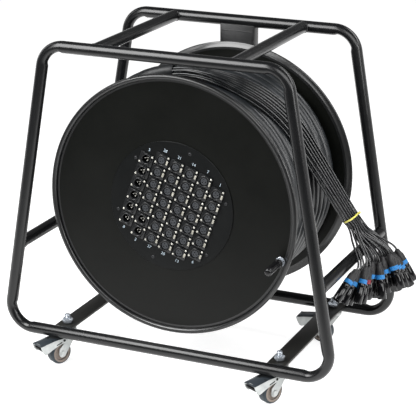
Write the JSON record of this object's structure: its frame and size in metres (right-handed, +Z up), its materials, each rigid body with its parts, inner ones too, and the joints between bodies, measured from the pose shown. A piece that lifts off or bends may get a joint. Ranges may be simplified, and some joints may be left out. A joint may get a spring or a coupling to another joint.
{
  "type": "multicore cable drum",
  "caption": "Stage multicore cable drum on a tube trolley with braked castors, with a round panel of connectors, a crank grip and a bunch of tails that end in plugs.",
  "frame": {"origin": "on the floor under the middle of the trolley's length and width, pedals included, without the tails and plugs", "axes": "+X to the crank's side as seen from the connector panel, +Y along the spindle from the panel to the rear, +Z up"},
  "size_m": [0.8047, 0.448, 0.707],
  "materials": {
    "frame_paint": "satin",
    "flange_paint": "satin",
    "panel_paint": "satin",
    "steel": "brushed",
    "zinc": "zinc plated",
    "black_metal": "matt",
    "tyre": "matt",
    "jacket": "satin",
    "black_plastic": "gloss",
    "yellow_plastic": "satin"
  },
  "bodies": {
    "trolley": {"front_loop": "frame_paint", "rear_loop": "frame_paint", "top_cross_tube_left": "frame_paint", "top_cross_tube_right": "frame_paint", "side_cross_tube_left": "frame_paint", "side_cross_tube_right": "frame_paint", "castor_bar_left": "frame_paint", "castor_bar_right": "frame_paint", "rear_upright": "frame_paint", "spindle": "steel", "spindle_nut": "zinc", "spindle_end_nut": "zinc", "castor_stem_front_left": "zinc", "castor_stem_front_right": "zinc", "castor_stem_rear_left": "zinc", "castor_stem_rear_right": "zinc", "multicore_breakout": "jacket", "tail_bunch": "jacket", "cable_tie": "yellow_plastic", "plug_bunch_1": "black_plastic", "plug_bunch_2": "black_plastic", "plug_bunch_3": "black_plastic"},
    "drum": {"front_flange": "flange_paint", "rear_flange": "flange_paint", "drum_barrel": "flange_paint", "winding_core": "jacket", "multicore_winding": "jacket", "connector_panel": "panel_paint", "rear_bearing": "steel", "front_bearing": "steel", "bearing_bulkhead": "black_metal", "rear_hub": "black_metal", "crank_stud": "zinc", "wiring_loom": "jacket", "female_connectors_2": "black_metal", "female_connectors_3": "black_metal", "female_connectors_4": "black_metal", "female_connectors_5": "black_metal", "female_connectors_6": "black_metal", "male_connector_1_1": "black_metal", "male_connector_1_2": "black_metal", "male_connector_1_3": "black_metal", "male_connector_1_4": "black_metal", "male_connector_1_5": "black_metal", "male_connector_1_6": "black_metal", "male_connector_2_6": "black_metal", "male_connector_2_7": "black_metal"},
    "crank": {"crank_grip": "black_plastic"},
    "castor_front_left": {"castor_fork_front_left": "zinc"},
    "wheel_front_left": {"castor_wheel_front_left": "tyre"},
    "pedal_front_left": {"castor_pedal_front_left": "black_metal"},
    "castor_front_right": {"castor_fork_front_right": "zinc"},
    "wheel_front_right": {"castor_wheel_front_right": "tyre"},
    "pedal_front_right": {"castor_pedal_front_right": "black_metal"},
    "castor_rear_left": {"castor_fork_rear_left": "zinc"},
    "wheel_rear_left": {"castor_wheel_rear_left": "tyre"},
    "pedal_rear_left": {"castor_pedal_rear_left": "black_metal"},
    "castor_rear_right": {"castor_fork_rear_right": "zinc"},
    "wheel_rear_right": {"castor_wheel_rear_right": "tyre"},
    "pedal_rear_right": {"castor_pedal_rear_right": "black_metal"}
  },
  "joints": [
    {"name": "drum_spin", "type": "hinge", "parent": "trolley", "child": "drum", "pos_m": [0, 0.01575, 0.378], "axis": [0, 1, 0], "continuous": true},
    {"name": "crank_grip_spin", "type": "hinge", "parent": "drum", "child": "crank", "pos_m": [0.23816, -0.17425, 0.29413], "axis": [0, 1, 0], "continuous": true},
    {"name": "castor_front_left_swivel", "type": "hinge", "parent": "trolley", "child": "castor_front_left", "pos_m": [-0.243, -0.14475, 0.072], "axis": [0, 0, 1], "continuous": true},
    {"name": "castor_front_left_wheel_spin", "type": "hinge", "parent": "castor_front_left", "child": "wheel_front_left", "pos_m": [-0.25382, -0.16617, 0.025], "axis": [0.8926, -0.4509, 0], "continuous": true},
    {"name": "castor_front_left_brake", "type": "hinge", "parent": "castor_front_left", "child": "pedal_front_left", "pos_m": [-0.24796, -0.15457, 0.055], "axis": [0.8926, -0.4509, 0], "range_deg": [0, 14]},
    {"name": "castor_front_right_swivel", "type": "hinge", "parent": "trolley", "child": "castor_front_right", "pos_m": [0.243, -0.14475, 0.072], "axis": [0, 0, 1], "continuous": true},
    {"name": "castor_front_right_wheel_spin", "type": "hinge", "parent": "castor_front_right", "child": "wheel_front_right", "pos_m": [0.23218, -0.16617, 0.025], "axis": [0.8926, -0.4509, 0], "continuous": true},
    {"name": "castor_front_right_brake", "type": "hinge", "parent": "castor_front_right", "child": "pedal_front_right", "pos_m": [0.23804, -0.15457, 0.055], "axis": [0.8926, -0.4509, 0], "range_deg": [0, 14]},
    {"name": "castor_rear_left_swivel", "type": "hinge", "parent": "trolley", "child": "castor_rear_left", "pos_m": [-0.243, 0.17625, 0.072], "axis": [0, 0, 1], "continuous": true},
    {"name": "castor_rear_left_wheel_spin", "type": "hinge", "parent": "castor_rear_left", "child": "wheel_rear_left", "pos_m": [-0.267, 0.17625, 0.025], "axis": [0, -1, 0], "continuous": true},
    {"name": "castor_rear_left_brake", "type": "hinge", "parent": "castor_rear_left", "child": "pedal_rear_left", "pos_m": [-0.254, 0.17625, 0.055], "axis": [0, -1, 0], "range_deg": [0, 14]},
    {"name": "castor_rear_right_swivel", "type": "hinge", "parent": "trolley", "child": "castor_rear_right", "pos_m": [0.243, 0.17625, 0.072], "axis": [0, 0, 1], "continuous": true},
    {"name": "castor_rear_right_wheel_spin", "type": "hinge", "parent": "castor_rear_right", "child": "wheel_rear_right", "pos_m": [0.219, 0.17625, 0.025], "axis": [0, -1, 0], "continuous": true},
    {"name": "castor_rear_right_brake", "type": "hinge", "parent": "castor_rear_right", "child": "pedal_rear_right", "pos_m": [0.232, 0.17625, 0.055], "axis": [0, -1, 0], "range_deg": [0, 14]}
  ]
}
